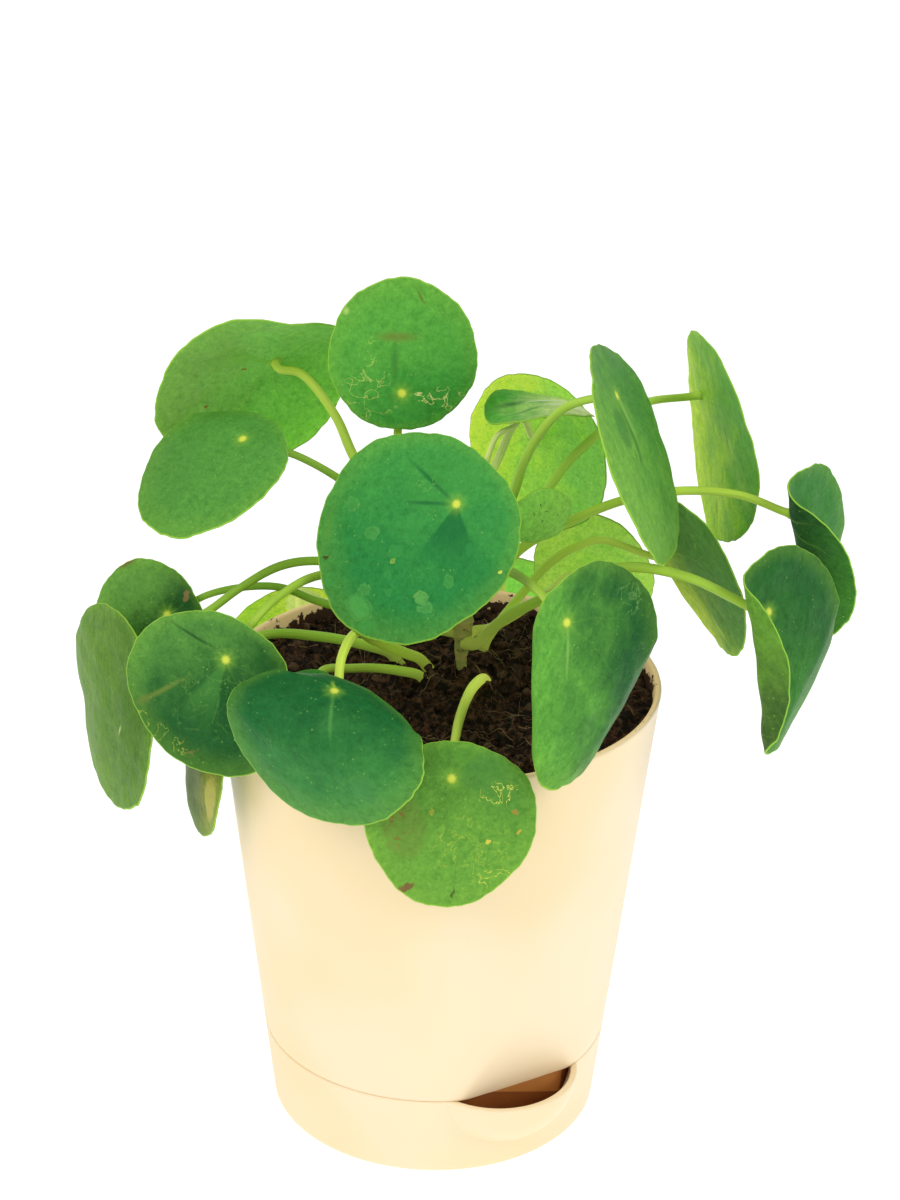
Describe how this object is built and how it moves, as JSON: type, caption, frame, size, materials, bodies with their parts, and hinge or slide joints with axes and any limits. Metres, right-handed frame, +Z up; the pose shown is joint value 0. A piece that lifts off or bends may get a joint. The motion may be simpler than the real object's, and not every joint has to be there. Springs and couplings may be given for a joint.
{
  "type": "potted chinese money plant",
  "caption": "Pilea with round shield-shaped leaves on arching stalks, in soil in a tapered cream self-watering pot with a reservoir base and a filling spout.",
  "frame": {"origin": "middle of the reservoir base's flat underside, on the pot's axis, at the surface it stands on", "axes": "+Z up along the pot's axis; -Y is the front, from which the picture looks; +X is to the right seen from the front"},
  "size_m": [0.2288, 0.1729, 0.2557],
  "materials": {
    "pot_plastic": "satin cream moulded plastic",
    "soil": "dark crumbly potting mix with pale rootlets",
    "leaf": "smooth, waxy, half-gloss green leaf",
    "stalk": "smooth, juicy yellow-green stalk",
    "crown": "dull, ringed, brown-green stem",
    "felt": "off-white needled felt"
  },
  "bodies": {
    "root": {"pot_body": "pot_plastic", "reservoir_base": "pot_plastic", "wick": "felt", "soil": "soil", "crown": "crown", "leaf_01_blade": "leaf", "leaf_01_petiole": "stalk", "leaf_02_blade": "leaf", "leaf_02_petiole": "stalk", "leaf_03_blade": "leaf", "leaf_03_petiole": "stalk", "leaf_04_blade": "leaf", "leaf_04_petiole": "stalk", "leaf_05_blade": "leaf", "leaf_05_petiole": "stalk", "leaf_06_blade": "leaf", "leaf_06_petiole": "stalk", "leaf_07_blade": "leaf", "leaf_07_petiole": "stalk", "leaf_08_blade": "leaf", "leaf_08_petiole": "stalk", "leaf_09_blade": "leaf", "leaf_09_petiole": "stalk", "leaf_10_blade": "leaf", "leaf_10_petiole": "stalk", "leaf_11_blade": "leaf", "leaf_11_petiole": "stalk", "leaf_12_blade": "leaf", "leaf_12_petiole": "stalk", "leaf_13_blade": "leaf", "leaf_13_petiole": "stalk", "leaf_14_blade": "leaf", "leaf_14_petiole": "stalk", "leaf_15_blade": "leaf", "leaf_15_petiole": "stalk", "leaf_16_blade": "leaf", "leaf_16_petiole": "stalk", "leaf_17_blade": "leaf", "leaf_17_petiole": "stalk", "leaf_18_blade": "leaf", "leaf_18_petiole": "stalk", "leaf_19_blade": "leaf", "leaf_19_petiole": "stalk", "leaf_20_blade": "leaf", "leaf_20_petiole": "stalk", "leaf_21_blade": "leaf", "leaf_21_petiole": "stalk", "leaf_22_blade": "leaf", "leaf_22_petiole": "stalk", "leaf_23_blade": "leaf", "leaf_23_petiole": "stalk"}
  },
  "joints": []
}
